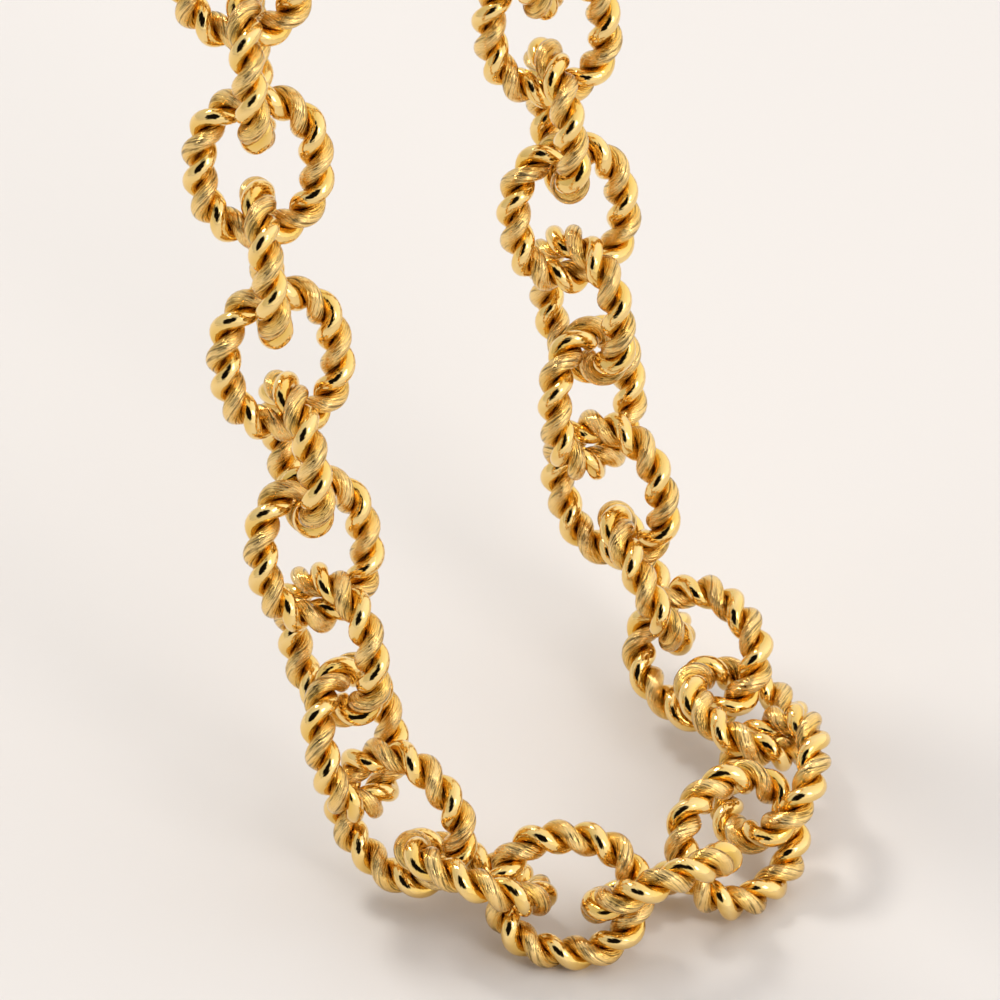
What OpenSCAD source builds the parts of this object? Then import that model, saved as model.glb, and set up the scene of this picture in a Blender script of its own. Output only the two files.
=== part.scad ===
// Chain necklace of twisted rope links, hanging with its lowest links laid on a flat surface.
// Millimetres, +Z up. X runs along the plane of the two hanging strands, and Y goes away from
// the open side of the lower bend. The origin is under the middle of the clasp, where the
// necklace hangs from a neck or a hook.

/* [Link] */
// length of a link, over the ends of its rope
link_len = 19; // [18.5:0.1:19.5]
// width of a link, over the sides of its rope
link_wid = 16.4; // [15.6:0.1:17]
// thickness of the rope, over the crests of its two strands
rope_d = 4; // [3.6:0.1:4.1]
// half turns that the two strands make on the way round a link
half_turns = 14; // [12:2:20]

/* [Rope section] */
// long side of the section through both strands, as a share of the rope's thickness
section_long = 0.875; // [0.8:0.005:0.9]
// short side of that section, as a share of the rope's thickness
section_short = 0.41; // [0.35:0.005:0.45]
// sections drawn for each half turn
rings_per_half_turn = 3; // [3:1:4]

/* [Hidden stretch] */
// links that go straight up at the left-hand side, above the first link of the table
left_run = 3; // [3:1:3]
// links that go straight up at the right-hand side, above the last link of the table
right_run = 5; // [5:1:5]
// looseness of each link in the two top bends
bend_slack = 0.5; // [0.2:0.1:0.6]

/* [Clasp] */
// thickness of the clasp's bar
bar_d = 5; // [4:0.1:5.5]
// thickness of the wire of its two rings
ring_wire = 1.8; // [1.6:0.1:2]
// inside width of its two rings
ring_hole = 6.4; // [6.2:0.1:6.8]
// clearance between the clasp's rings and the links in them
ring_gap = 0.4; // [0.3:0.05:0.5]

/* [Show] */
// the piece to show

/* [Hidden] */
$fn = 48;

// How each link lies, from the left-hand strand's top round to the right-hand strand's top.
// The links join end to end: heading turns a link's length about Z, climb tips it upwards, roll
// turns it about its own length, and slack is how far it is from being pulled tight.
// [heading, climb, roll, slack]
lie = [
    // left-hand strand, going down
    [-104, -72,  25, 0],
    [-114, -70, 105, 0],
    [-124, -70,   0, 0],
    [-109, -70, 105, 0],
    [-104, -70,   5, 0],
    [-104, -69,  95, 0],
    [-104, -66,  -5, 0],
    [-104, -64,  70, 0],
    // the bend at its foot
    [ -89, -66, -20, 0.3],
    [ -77, -32,  68, 0.6],
    [ -68,  -5, -35, 0.4],
    // the links that lie on the surface
    [ -45,   0,  55, 0.2],
    [  -9,   0, -45, 0.2],
    [   7,   3,  50, 0.5],
    [  51,   8, -41, 0.5],
    [  76,   0,  25, 0.5],
    [  89,  12, -40, 0.5],
    // the bend at the foot of the right-hand strand
    [  89,  42,  55, 0.3],
    [  86,  60, -60, 0.3],
    // right-hand strand, going up
    [  66,  70,  35, 0],
    [  76,  72, -75, 0],
    [  76,  72,  -5, 0],
    [  76,  75,  80, 0],
    [  76,  78, -20, 0],
    [  61,  66,  70, 0],
];

// columns of that table
heading = 0;
climb = 1;
roll = 2;
slack = 3;

// the rope's centre line in one link: half-circle ends of this radius, this far from the middle
end_r = (link_wid - rope_d) / 2;
end_x = (link_len - link_wid) / 2;
arc_len = PI * end_r;
side_len = 2 * end_x;
way_round = 2 * (arc_len + side_len);

// from one joint to the next in a chain that is pulled tight
pitch = link_len - 2 * rope_d;
bend_pitch = pitch - bend_slack;

shown = len(lie);
corner = 2;
count = shown + right_run + left_run + 2 * corner;

function dir(h, c) = [cos(c) * cos(h), cos(c) * sin(h), sin(c)];

function step_of(i) = (pitch - lie[i][slack]) * dir(lie[i][heading], lie[i][climb]);

// joints of the shown links, from the first one
way = [for (i = 0, p = [0, 0, 0]; i <= shown; p = i < shown ? p + step_of(i) : p, i = i + 1) p];

// climbs of the two links in each top bend, in order
right_bend = [60, 30];
left_bend = [-50, -75];

// from the middle of a clasp's ring to the joint of the link that hangs in it
reach = ring_hole / 2 - ring_gap + bend_slack / 2;

// each top bend, between the middle of its ring and the straight run beside it
right_out = bend_pitch * dir(180, right_bend[0]) + (bend_pitch + reach) * dir(180, right_bend[1]);
left_out = (bend_pitch + reach) * dir(180, left_bend[0]) + bend_pitch * dir(180, left_bend[1]);

// the clasp's rings stand this far to each side, so that it fills what is left of the loop
ring_x = (way[shown][0] + right_out[0] + left_out[0]) / 2;
top_z = bar_d / 2;
right_top = [ring_x, 0, top_z] - right_out;
right_in = right_top + bend_pitch * dir(180, right_bend[0]);
clasp_right = right_in + bend_pitch * dir(180, right_bend[1]);
clasp_left = [-ring_x, 0, top_z] + reach * dir(180, left_bend[0]);
left_in = clasp_left + bend_pitch * dir(180, left_bend[0]);
left_top = [-ring_x, 0, top_z] + left_out;
start = left_top - [0, 0, left_run * pitch];
shown_end = start + way[shown];

// the hidden links turn by even steps, to lie flat where they hang in the clasp's rings
right_roll = 36;
right_step = 84;
left_step = 101;

// [first joint, second joint, roll] of each link, in order
shown_links = [for (i = [0:shown - 1]) [start + way[i], start + way[i + 1], lie[i][roll]]];
right_links = [
    for (i = [0:right_run - 1])
        [
            shown_end + (right_top - shown_end) * i / right_run,
            shown_end + (right_top - shown_end) * (i + 1) / right_run,
            right_roll + right_step * i
        ]
];
bend_links = [
    [right_top, right_in, right_roll + right_step * right_run],
    [right_in, clasp_right, right_roll + right_step * (right_run + 1)],
    [clasp_left, left_in, 0],
    [left_in, left_top, left_step],
];
left_links = [
    for (i = [0:left_run - 1])
        [
            left_top - [0, 0, i * pitch],
            left_top - [0, 0, (i + 1) * pitch],
            left_step * (i + 2)
        ]
];
links = concat(shown_links, right_links, bend_links, left_links);

link_names = [for (i = [1:count]) str("link_", i < 10 ? "0" : "", i)];

// a place on the rope's centre line, q round from the middle of one side's start: [point, outward]
function spot(q) =
    q < arc_len ? on_end(end_x, -90 + 180 * q / arc_len)
    : q < arc_len + side_len ? [[end_x - (q - arc_len), end_r], [0, 1]]
    : q < 2 * arc_len + side_len ? on_end(-end_x, 90 + 180 * (q - arc_len - side_len) / arc_len)
    : [[-end_x + (q - 2 * arc_len - side_len), -end_r], [0, -1]];

function on_end(x, a) = [[x + end_r * cos(a), end_r * sin(a)], [cos(a), sin(a)]];

// the four corners of the section through both strands, turned by a about the centre line
function section(s, a) =
    let (
        l = rope_d * section_long / 2,
        w = rope_d * section_short / 2,
        out = [s[1][0], s[1][1], 0],
        along = out * cos(a) - [0, 0, 1] * sin(a),
        across = out * sin(a) + [0, 0, 1] * cos(a),
        mid = [s[0][0], s[0][1], 0]
    )
    [
        mid + along * l + across * w,
        mid - along * l + across * w,
        mid - along * l - across * w,
        mid + along * l - across * w
    ];

// one link's rope: the pair of strands swept round the oval and turned as it goes
module rope_link()
{
    n = half_turns * rings_per_half_turn;
    points = [
        for (i = [0:n - 1])
            each section(spot(way_round * i / n), 180 * i / rings_per_half_turn)
    ];
    faces = [
        for (i = [0:n - 1])
            for (k = [0:3])
                let (
                    a = i * 4 + k,
                    b = i * 4 + (k + 1) % 4,
                    c = ((i + 1) % n) * 4 + (k + 1) % 4,
                    d = ((i + 1) % n) * 4 + k
                )
                each [[a, b, c], [a, c, d]]
    ];
    polyhedron(points, faces, convexity = 6);
}

// a link laid from one joint to the next
module link(i)
{
    run = links[i][1] - links[i][0];
    up = atan2(run[2], norm([run[0], run[1]]));
    turn = i < shown ? lie[i][heading] : 180;
    color("#d9a441")
        translate((links[i][0] + links[i][1]) / 2)
            rotate([links[i][2], i < shown ? -lie[i][climb] : -up, turn])
                rope_link();
}

// the clasp: a bar between two upright rings, which the links in them lie across
module clasp()
{
    bar_l = 2 * ring_x - ring_hole;
    color("#d9a441")
        translate([0, 0, top_z])
            rotate([90, 0, 0])
                union()
                {
                    rotate([0, 90, 0])
                        cylinder(d = bar_d, h = bar_l, center = true);
                    for (side = [-1, 1])
                        translate([side * ring_x, 0, 0])
                            rotate_extrude()
                                translate([(ring_hole + ring_wire) / 2, 0])
                                    circle(d = ring_wire);
                }
}

for (i = [0:count - 1])
    link(i);
clasp();
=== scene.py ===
"""Dresses the chain necklace: 37 twisted rope links and a clasp, in yellow gold plate.

It is shown as it hangs from its clasp, with its lowest links laid on a pale surface.
"""

import math

import bpy
from mathutils import Matrix, Vector


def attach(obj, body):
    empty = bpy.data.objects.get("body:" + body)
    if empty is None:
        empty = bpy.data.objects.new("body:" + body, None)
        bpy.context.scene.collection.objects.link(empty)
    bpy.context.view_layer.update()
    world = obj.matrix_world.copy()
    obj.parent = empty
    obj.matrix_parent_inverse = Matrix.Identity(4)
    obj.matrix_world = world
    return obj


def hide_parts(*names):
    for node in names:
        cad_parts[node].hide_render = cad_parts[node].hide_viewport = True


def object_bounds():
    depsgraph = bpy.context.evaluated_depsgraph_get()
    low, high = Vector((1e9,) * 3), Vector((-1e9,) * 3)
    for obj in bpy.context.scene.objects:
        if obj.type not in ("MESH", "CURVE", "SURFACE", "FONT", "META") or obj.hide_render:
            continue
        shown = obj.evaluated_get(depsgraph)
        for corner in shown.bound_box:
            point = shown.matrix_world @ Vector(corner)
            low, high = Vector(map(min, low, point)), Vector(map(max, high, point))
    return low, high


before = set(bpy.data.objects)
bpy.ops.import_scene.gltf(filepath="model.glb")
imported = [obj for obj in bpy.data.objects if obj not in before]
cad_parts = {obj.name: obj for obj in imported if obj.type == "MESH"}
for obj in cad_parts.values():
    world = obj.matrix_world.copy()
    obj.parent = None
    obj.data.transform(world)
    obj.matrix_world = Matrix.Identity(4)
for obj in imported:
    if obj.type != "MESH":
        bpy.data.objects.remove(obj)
solid_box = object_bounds()
MM = 0.001

# The run of the chain.
# The chain is pulled almost tight, so its links join end to end. Each row is one link that
# shows, from the top of the left-hand strand round to the top of the right-hand strand.

LINK_LEN = 19.0
LINK_WID = 16.4
ROPE_D = 4.0
PITCH = LINK_LEN - 2 * ROPE_D
BEND_SLACK = 0.5
BEND_PITCH = PITCH - BEND_SLACK
LEFT_RUN = 3
RIGHT_RUN = 5
RIGHT_BEND = (60, 30)  # climb of each link in the top bends, in degrees
LEFT_BEND = (-50, -75)
RIGHT_ROLL, RIGHT_STEP = 36, 84  # roll of the first hidden link, and from each to the next
LEFT_STEP = 101
BAR_D = 5.0
RING_HOLE = 6.4
RING_GAP = 0.4

# heading, climb and roll in degrees, and slack in mm
LIE = [
    # left-hand strand, going down
    (-104, -72, 25, 0),
    (-114, -70, 105, 0),
    (-124, -70, 0, 0),
    (-109, -70, 105, 0),
    (-104, -70, 5, 0),
    (-104, -69, 95, 0),
    (-104, -66, -5, 0),
    (-104, -64, 70, 0),
    # the bend at its foot
    (-89, -66, -20, 0.3),
    (-77, -32, 68, 0.6),
    (-68, -5, -35, 0.4),
    # the links that lie on the surface
    (-45, 0, 55, 0.2),
    (-9, 0, -45, 0.2),
    (7, 3, 50, 0.5),
    (51, 8, -41, 0.5),
    (76, 0, 25, 0.5),
    (89, 12, -40, 0.5),
    # the bend at the foot of the right-hand strand
    (89, 42, 55, 0.3),
    (86, 60, -60, 0.3),
    # right-hand strand, going up
    (66, 70, 35, 0),
    (76, 72, -75, 0),
    (76, 72, -5, 0),
    (76, 75, 80, 0),
    (76, 78, -20, 0),
    (61, 66, 70, 0),
]


def direction(heading, climb):
    """The unit vector at that heading about Z and that climb above the level."""
    h, c = math.radians(heading), math.radians(climb)
    return Vector((math.cos(c) * math.cos(h), math.cos(c) * math.sin(h), math.sin(c)))


way = [Vector((0, 0, 0))]
for heading, climb, roll, slack in LIE:
    way.append(way[-1] + (PITCH - slack) * direction(heading, climb))

# The two top bends, each of two links, and the clasp that fills what is left between them. Its
# rings hold the end links this far from their middles.
REACH = RING_HOLE / 2 - RING_GAP + BEND_SLACK / 2
right_bend = [BEND_PITCH * direction(180, climb) for climb in RIGHT_BEND]
left_bend = [BEND_PITCH * direction(180, climb) for climb in LEFT_BEND]
right_hook = REACH * direction(180, RIGHT_BEND[1])
left_hook = REACH * direction(180, LEFT_BEND[0])
ring_x = (way[-1] + sum(right_bend + left_bend, right_hook + left_hook)).x / 2
clasp_left = Vector((-ring_x, 0, BAR_D / 2)) + left_hook
right_top = Vector((ring_x, 0, BAR_D / 2)) - right_hook - right_bend[1] - right_bend[0]
left_top = clasp_left + left_bend[0] + left_bend[1]
start = left_top - Vector((0, 0, LEFT_RUN * PITCH))
shown_end = start + way[-1]

# each link's two joints, its heading and its roll
links = []
for i, (heading, climb, roll, slack) in enumerate(LIE):
    links.append((start + way[i], start + way[i + 1], heading, roll))
for i in range(RIGHT_RUN):
    low = shown_end.lerp(right_top, i / RIGHT_RUN)
    high = shown_end.lerp(right_top, (i + 1) / RIGHT_RUN)
    links.append((low, high, 180, RIGHT_ROLL + RIGHT_STEP * i))
joint = right_top
for i, step in enumerate(right_bend, RIGHT_RUN):
    links.append((joint, joint + step, 180, RIGHT_ROLL + RIGHT_STEP * i))
    joint = joint + step
joint = clasp_left
for i, step in enumerate(left_bend + LEFT_RUN * [Vector((0, 0, -PITCH))]):
    links.append((joint, joint + step, 180, LEFT_STEP * i))
    joint = joint + step


# Twisted rope links.
# Each link is two round wires twisted into a rope, bent to an oval and soldered shut. One wire
# is polished to a mirror, and the other is scored with fine lines along its length.

WIRE_R = 0.965  # mm, each of the two wires
TWIST_R = 0.965  # mm, from the rope's centre line to a wire's
FULL_TURNS = 7
RINGS = 256  # round the oval
SIDES = 16  # round each wire
NUDGE = 0.01  # mm each way along a wire, to find which way it runs

end_r = (LINK_WID - ROPE_D) / 2
end_x = (LINK_LEN - LINK_WID) / 2
arc_len = math.pi * end_r
side_len = 2 * end_x
way_round = 2 * (arc_len + side_len)


def rope_line(q):
    """The rope's centre line at q mm round the oval: the point, and the way out of the oval."""
    q %= way_round
    half = arc_len + side_len
    flip = 1 if q < half else -1
    q -= 0 if q < half else half
    if q < arc_len:
        a = -math.pi / 2 + math.pi * q / arc_len
        out = Vector((math.cos(a), math.sin(a), 0))
        point = Vector((end_x, 0, 0)) + end_r * out
    else:
        out = Vector((0, 1, 0))
        point = Vector((end_x - (q - arc_len), end_r, 0))
    return flip * point, flip * out


def wire_line(q, phase):
    """A wire's centre line at q mm round the oval: the point, and the way out of the rope."""
    point, out = rope_line(q)
    a = 2 * math.pi * FULL_TURNS * q / way_round + phase
    away = out * math.cos(a) - Vector((0, 0, 1)) * math.sin(a)
    return point + TWIST_R * away, away


def link_mesh(name, materials):
    """One link, 1000 times too large: both wires as closed tubes, the polished one first."""
    points, faces, uvs, kinds = [], [], [], []
    for wire, phase in enumerate((0, math.pi)):
        first = len(points)
        for i in range(RINGS):
            q = way_round * i / RINGS
            centre, away = wire_line(q, phase)
            ahead = wire_line(q + NUDGE, phase)[0]
            behind = wire_line(q - NUDGE, phase)[0]
            along = (ahead - behind).normalized()
            out = (away - away.dot(along) * along).normalized()
            side = along.cross(out)
            for k in range(SIDES):
                a = 2 * math.pi * k / SIDES + math.pi
                points.append(centre + WIRE_R * (math.cos(a) * out + math.sin(a) * side))
        for i in range(RINGS):
            for k in range(SIDES):
                ring, after = first + i * SIDES, first + (i + 1) % RINGS * SIDES
                next_k = (k + 1) % SIDES
                faces.append((ring + k, ring + next_k, after + next_k, after + k))
                u0, u1 = k / SIDES, (k + 1) / SIDES
                v0, v1 = i / RINGS, (i + 1) / RINGS
                uvs += [(u0, v0), (u1, v0), (u1, v1), (u0, v1)]
                kinds.append(wire)
    mesh = bpy.data.meshes.new(name)
    mesh.from_pydata([p * MM for p in points], [], faces)
    layer = mesh.uv_layers.new(name="round_and_along")
    for corner, uv in zip(layer.data, uvs):
        corner.uv = uv
    mesh.polygons.foreach_set("material_index", kinds)
    mesh.shade_smooth()
    for material in materials:
        mesh.materials.append(material)
    return mesh


def linear(hex_colour):
    """An sRGB hex colour as linear RGBA."""
    value = hex_colour.lstrip("#")
    parts = [int(value[k : k + 2], 16) / 255 for k in (0, 2, 4)]
    return [c / 12.92 if c <= 0.04045 else ((c + 0.055) / 1.055) ** 2.4 for c in parts] + [1.0]


def add_node(tree, kind, values=None, sources=None, **settings):
    """Adds a node with these settings and socket values, and joins these outputs to its sockets."""
    node = tree.nodes.new(kind)
    for key, value in settings.items():
        setattr(node, key, value)
    for key, value in (values or {}).items():
        node.inputs[key].default_value = value
    for key, output in (sources or {}).items():
        tree.links.new(output, node.inputs[key])
    return node


def new_material(name):
    """A node material and its tree, which is empty."""
    material = bpy.data.materials.new(name)
    material.use_nodes = True
    material.node_tree.nodes.clear()
    return material, material.node_tree


# Polished gold plate: a mirror finish on brass. It shows pale cream lights and crisp dark streaks.
# Its colour holds painted shade: deep amber in the valleys between the wires, paler on their
# crests.
polished_gold, tree = new_material("polished_gold_plate")
uv = add_node(tree, "ShaderNodeUVMap", uv_map="round_and_along")
apart = add_node(tree, "ShaderNodeSeparateXYZ", sources={"Vector": uv.outputs[0]})
wire_round = 2 * math.pi * WIRE_R
wire_along = math.hypot(way_round, 2 * math.pi * FULL_TURNS * TWIST_R)
# low waves left by drawing and polishing the wire, long along it
WAVE_GAP = 0.9  # mm between waves
WAVE_LEN = 2.2  # mm that a wave runs on for
WAVE_DEPTH = 0.14  # mm
stretched = add_node(
    tree,
    "ShaderNodeMapping",
    {"Scale": (wire_round / WAVE_GAP, wire_along / WAVE_LEN, 1.0)},
    {"Vector": uv.outputs[0]},
)
waves = add_node(
    tree,
    "ShaderNodeTexNoise",
    {"Scale": 1.0, "Detail": 3.0, "Roughness": 0.55},
    {"Vector": stretched.outputs[0]},
)
# painted shade: the colour runs from pale cream on the wire's crest to deep amber in the valleys
# between the wires
valley_shade = add_node(tree, "ShaderNodeValToRGB", sources={"Fac": apart.outputs[0]})
valley_shade.color_ramp.elements[0].position = 0.0
valley_shade.color_ramp.elements[0].color = linear("#dda730")
valley_shade.color_ramp.elements[1].position = 1.0
valley_shade.color_ramp.elements[1].color = linear("#dda730")
for at, shade in ((0.25, "#f1c768"), (0.5, "#fbda94"), (0.75, "#f1c768")):
    valley_shade.color_ramp.elements.new(at).color = linear(shade)
rough = add_node(
    tree,
    "ShaderNodeMapRange",
    {"From Min": 0.3, "From Max": 0.7, "To Min": 0.05, "To Max": 0.12},
    {"Value": waves.outputs[0]},
)
bump = add_node(
    tree,
    "ShaderNodeBump",
    {"Strength": 0.8, "Distance": WAVE_DEPTH * MM},
    {"Height": waves.outputs[0]},
)
gloss = add_node(
    tree,
    "ShaderNodeBsdfPrincipled",
    {"Metallic": 1.0},
    {
        "Base Color": valley_shade.outputs[0],
        "Roughness": rough.outputs[0],
        "Normal": bump.outputs[0],
    },
)
add_node(tree, "ShaderNodeOutputMaterial", sources={"Surface": gloss.outputs[0]})

# Scored gold plate: the wire was brushed along its length before it was twisted, so that it
# is covered with fine straight lines that break the light into silky streaks. The grooves of the
# lines are darkened in the colour as painted shade.
scored_gold, tree = new_material("scored_gold_plate")
uv = add_node(tree, "ShaderNodeUVMap", uv_map="round_and_along")
apart = add_node(tree, "ShaderNodeSeparateXYZ", sources={"Vector": uv.outputs[0]})
LINE_GAP = 0.36  # mm between lines, coarser than the real ones so that they show
LINE_LEN = 3.0  # mm that a line runs on for
LINE_DEPTH = 0.3  # mm, also more than the real ones
stretched = add_node(
    tree,
    "ShaderNodeMapping",
    {"Scale": (wire_round / LINE_GAP, wire_along / LINE_LEN, 1.0)},
    {"Vector": uv.outputs[0]},
)
lines = add_node(
    tree,
    "ShaderNodeTexNoise",
    {"Scale": 1.0, "Detail": 3.0, "Roughness": 0.65},
    {"Vector": stretched.outputs[0]},
)
# painted shade: the colour runs from pale cream on the wire's crest to deep amber in the valleys
# between the wires
valley_shade = add_node(tree, "ShaderNodeValToRGB", sources={"Fac": apart.outputs[0]})
valley_shade.color_ramp.elements[0].position = 0.0
valley_shade.color_ramp.elements[0].color = linear("#d69f2a")
valley_shade.color_ramp.elements[1].position = 1.0
valley_shade.color_ramp.elements[1].color = linear("#d69f2a")
for at, shade in ((0.25, "#efc264"), (0.5, "#fad690"), (0.75, "#efc264")):
    valley_shade.color_ramp.elements.new(at).color = linear(shade)
# painted shade: the colour darkens to 0.3 where the lines' bump is lowest, in their grooves
groove_shade = add_node(
    tree,
    "ShaderNodeMapRange",
    {"From Min": 0.36, "From Max": 0.47, "To Min": 0.3, "To Max": 1.0},
    {"Value": lines.outputs[0]},
)
# the colour with both painted shades multiplied in: the valleys between the wires and the grooves
# of the lines
colour = add_node(
    tree,
    "ShaderNodeMix",
    {0: 1.0},
    {6: valley_shade.outputs[0], 7: groove_shade.outputs[0]},
    data_type="RGBA",
    blend_type="MULTIPLY",
)
bump = add_node(
    tree,
    "ShaderNodeBump",
    {"Strength": 1.0, "Distance": LINE_DEPTH * MM},
    {"Height": lines.outputs[0]},
)
gloss = add_node(
    tree,
    "ShaderNodeBsdfPrincipled",
    {"Metallic": 1.0, "Roughness": 0.14},
    {"Base Color": colour.outputs[2], "Normal": bump.outputs[0]},
)
add_node(tree, "ShaderNodeOutputMaterial", sources={"Surface": gloss.outputs[0]})

rope_mesh = link_mesh("rope_link", (polished_gold, scored_gold))
for number, (low, high, heading, roll) in enumerate(links, 1):
    run = high - low
    climb = math.atan2(run.z, math.hypot(run.x, run.y))
    piece = bpy.data.objects.new(f"rope_{number:02d}", rope_mesh)
    bpy.context.scene.collection.objects.link(piece)
    piece.matrix_world = (
        Matrix.Translation((low + high) / 2 * MM)
        @ Matrix.Rotation(math.radians(heading), 4, "Z")
        @ Matrix.Rotation(-climb, 4, "Y")
        @ Matrix.Rotation(math.radians(roll), 4, "X")
    )
    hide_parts(f"link_{number:02d}")
    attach(piece, "root")

# Clasp.
# A plain cast bar between two round rings, polished and plated like the links. It closes the
# chain at the back of the neck, where it is hidden when worn.

clasp_gold, tree = new_material("cast_gold_plate")
place = add_node(tree, "ShaderNodeTexCoord")
# faint orange peel, which polishing leaves on a casting
PEEL = 1.5  # mm across one mark
PEEL_DEPTH = 0.05  # mm
peel = add_node(
    tree,
    "ShaderNodeTexNoise",
    {"Scale": 1 / (PEEL * MM), "Detail": 2.0},
    {"Vector": place.outputs["Object"]},
)
tone = add_node(tree, "ShaderNodeValToRGB", sources={"Fac": peel.outputs[0]})
tone.color_ramp.elements[0].position = 0.35
tone.color_ramp.elements[0].color = linear("#f0c768")
tone.color_ramp.elements[1].position = 0.65
tone.color_ramp.elements[1].color = linear("#f8d684")
bump = add_node(
    tree,
    "ShaderNodeBump",
    {"Strength": 0.4, "Distance": PEEL_DEPTH * MM},
    {"Height": peel.outputs[0]},
)
gloss = add_node(
    tree,
    "ShaderNodeBsdfPrincipled",
    {"Metallic": 1.0, "Roughness": 0.12},
    {"Base Color": tone.outputs[0], "Normal": bump.outputs[0]},
)
add_node(tree, "ShaderNodeOutputMaterial", sources={"Surface": gloss.outputs[0]})
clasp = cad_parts["clasp"]
for part in clasp.material_slots:
    part.material = clasp_gold

# Surface.
# The pale sheet that the lowest links lie on. It isn't part of the necklace.

pale_sheet, tree = new_material("pale_sheet")
matt = add_node(
    tree,
    "ShaderNodeBsdfPrincipled",
    {"Base Color": linear("#e9e5e2"), "Roughness": 0.75},
)
add_node(tree, "ShaderNodeOutputMaterial", sources={"Surface": matt.outputs[0]})
SHEET_HALF = 4.0  # m, so that its edges stay out of every view
low_z = solid_box[0][2]
sheet_mesh = bpy.data.meshes.new("surface")
sheet_mesh.from_pydata(
    [(SHEET_HALF * x, SHEET_HALF * y, low_z) for x, y in ((-1, -1), (1, -1), (1, 1), (-1, 1))],
    [],
    [(0, 1, 2, 3)],
)
sheet_mesh.materials.append(pale_sheet)
surface = bpy.data.objects.new("surface", sheet_mesh)
bpy.context.scene.collection.objects.link(surface)

# Camera and light.
# The camera looks down at 40 degrees, from in front of the left-hand strand. A window stands
# behind the chain on the left and a soft box in front on the right, and the room behind the
# camera is dark.

LOOK_HEADING = 51
LOOK_DOWN = 40
MID_PX = 500  # the middle of the frame, which is 1000 pixels across
LENS_PX = 12000  # focal length, in the same pixels
DISTANCE = 1320.0  # mm
AIM = Vector((-3.5, -42.5, -169.0))  # mm, a point in the middle of the bend
AIM_AT = (588, 908)  # where that point shows in the frame, in pixels

forward = direction(LOOK_HEADING, -LOOK_DOWN)
right = direction(LOOK_HEADING - 90, 0)
up = right.cross(forward)
eye = (
    AIM
    - DISTANCE * forward
    - DISTANCE * (AIM_AT[0] - MID_PX) / LENS_PX * right
    + DISTANCE * (AIM_AT[1] - MID_PX) / LENS_PX * up
)
camera_data = bpy.data.cameras.new("camera")
camera_data.angle = 2 * math.atan(MID_PX / LENS_PX)
camera_data.clip_start = 0.01
camera = bpy.data.objects.new("camera", camera_data)
bpy.context.scene.collection.objects.link(camera)
facing = Matrix((right, up, -forward)).transposed().to_4x4()
camera.matrix_world = Matrix.Translation(eye * MM) @ facing
bpy.context.scene.camera = camera

level = direction(LOOK_HEADING, 0)
CENTRE = Vector((0, -20, -110)) * MM
# name, to the right, away, up (metres from the middle of the chain), width, height, watts, tint
SOFT_BOXES = [
    ("window", -0.45, 0.45, 0.85, 0.22, 0.22, 3.5, "#fffdf8"),
    ("front_right", 0.5, -0.55, 0.6, 0.26, 0.4, 1.3, "#fff8f4"),
]
for name, across, away, over, width, height, watts, tint in SOFT_BOXES:
    lamp = bpy.data.lights.new(name, "AREA")
    lamp.shape = "RECTANGLE"
    lamp.size, lamp.size_y = width, height
    lamp.energy = watts
    lamp.color = linear(tint)[:3]
    box = bpy.data.objects.new(name, lamp)
    bpy.context.scene.collection.objects.link(box)
    spot = CENTRE + across * right + away * level + over * Vector((0, 0, 1))
    box.location = spot
    box.rotation_euler = (CENTRE - spot).to_track_quat("-Z", "Y").to_euler()

world = bpy.data.worlds.new("studio")
bpy.context.scene.world = world
world.use_nodes = True
tree = world.node_tree
tree.nodes.clear()
sky = add_node(tree, "ShaderNodeTexCoord")
# the walls are dimmer on the left and bright on the right
sideways = add_node(
    tree,
    "ShaderNodeVectorMath",
    {1: right},
    {0: sky.outputs["Generated"]},
    operation="DOT_PRODUCT",
)
walls = add_node(
    tree,
    "ShaderNodeMapRange",
    {"From Min": -1.0, "From Max": 1.0, "To Min": 0.7, "To Max": 1.35},
    {"Value": sideways.outputs["Value"]},
)
# the dark room, behind the camera and to its left
dark_way = (-forward - 0.35 * right).normalized()
toward = add_node(
    tree,
    "ShaderNodeVectorMath",
    {1: dark_way},
    {0: sky.outputs["Generated"]},
    operation="DOT_PRODUCT",
)
room = add_node(tree, "ShaderNodeValToRGB", sources={"Fac": toward.outputs["Value"]})
room.color_ramp.elements[0].position = 0.83
room.color_ramp.elements[0].color = linear("#f7f5f3")
room.color_ramp.elements[1].position = 0.87
room.color_ramp.elements[1].color = linear("#14110f")
backdrop = add_node(
    tree,
    "ShaderNodeBackground",
    sources={"Color": room.outputs[0], "Strength": walls.outputs[0]},
)
add_node(tree, "ShaderNodeOutputWorld", sources={"Surface": backdrop.outputs[0]})

bpy.context.scene.view_settings.view_transform = "Standard"
